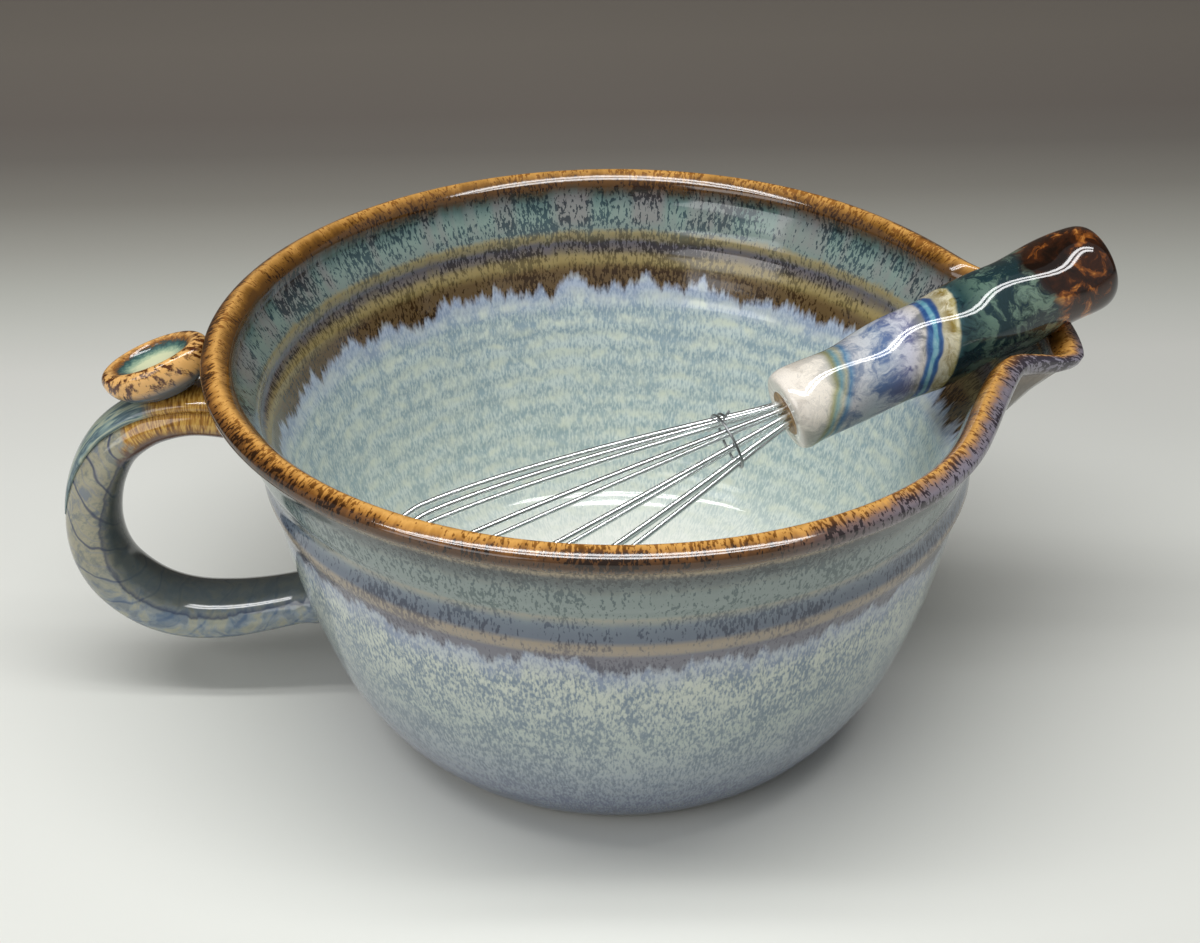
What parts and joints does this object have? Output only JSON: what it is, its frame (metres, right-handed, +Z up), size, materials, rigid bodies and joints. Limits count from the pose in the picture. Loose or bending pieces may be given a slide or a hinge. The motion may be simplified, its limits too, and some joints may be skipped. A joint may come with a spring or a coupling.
{
  "type": "batter bowl with whisk",
  "caption": "Thrown stoneware batter bowl with beaded rim, pulled pour spout, loop handle with thumb rest, and a loose ceramic-gripped wire balloon whisk lying in it.",
  "frame": {"origin": "centre of the foot ring on the plane of the table", "axes": "+Z up along the bowl's axis, +X out through the pour spout, so that the handle is on -X"},
  "size_m": [0.2881, 0.2199, 0.1358],
  "materials": {
    "bowl_glaze": "glossy variegated glaze",
    "handle_glaze": "glossy clear glaze over marbled clay",
    "thumb_rest_glaze": "glossy ochre glaze",
    "grip_glaze": "glossy glaze over marbled clay",
    "plug_resin": "set resin",
    "loop_wire": "bright drawn stainless wire",
    "binding_steel": "thin soft steel wire"
  },
  "bodies": {
    "bowl": {"bowl_body": "bowl_glaze", "handle": "handle_glaze", "thumb_rest": "thumb_rest_glaze"},
    "whisk": {"whisk_grip": "grip_glaze", "grip_plug": "plug_resin", "whisk_wire_1": "loop_wire", "whisk_wire_2": "loop_wire", "whisk_wire_3": "loop_wire", "whisk_wire_4": "loop_wire", "whisk_wire_5": "loop_wire", "binding_wire": "binding_steel"}
  },
  "joints": [
    {"name": "whisk_lift", "type": "slide", "parent": "bowl", "child": "whisk", "axis": [0, 0, 1], "range_m": [0, 0.13]}
  ]
}
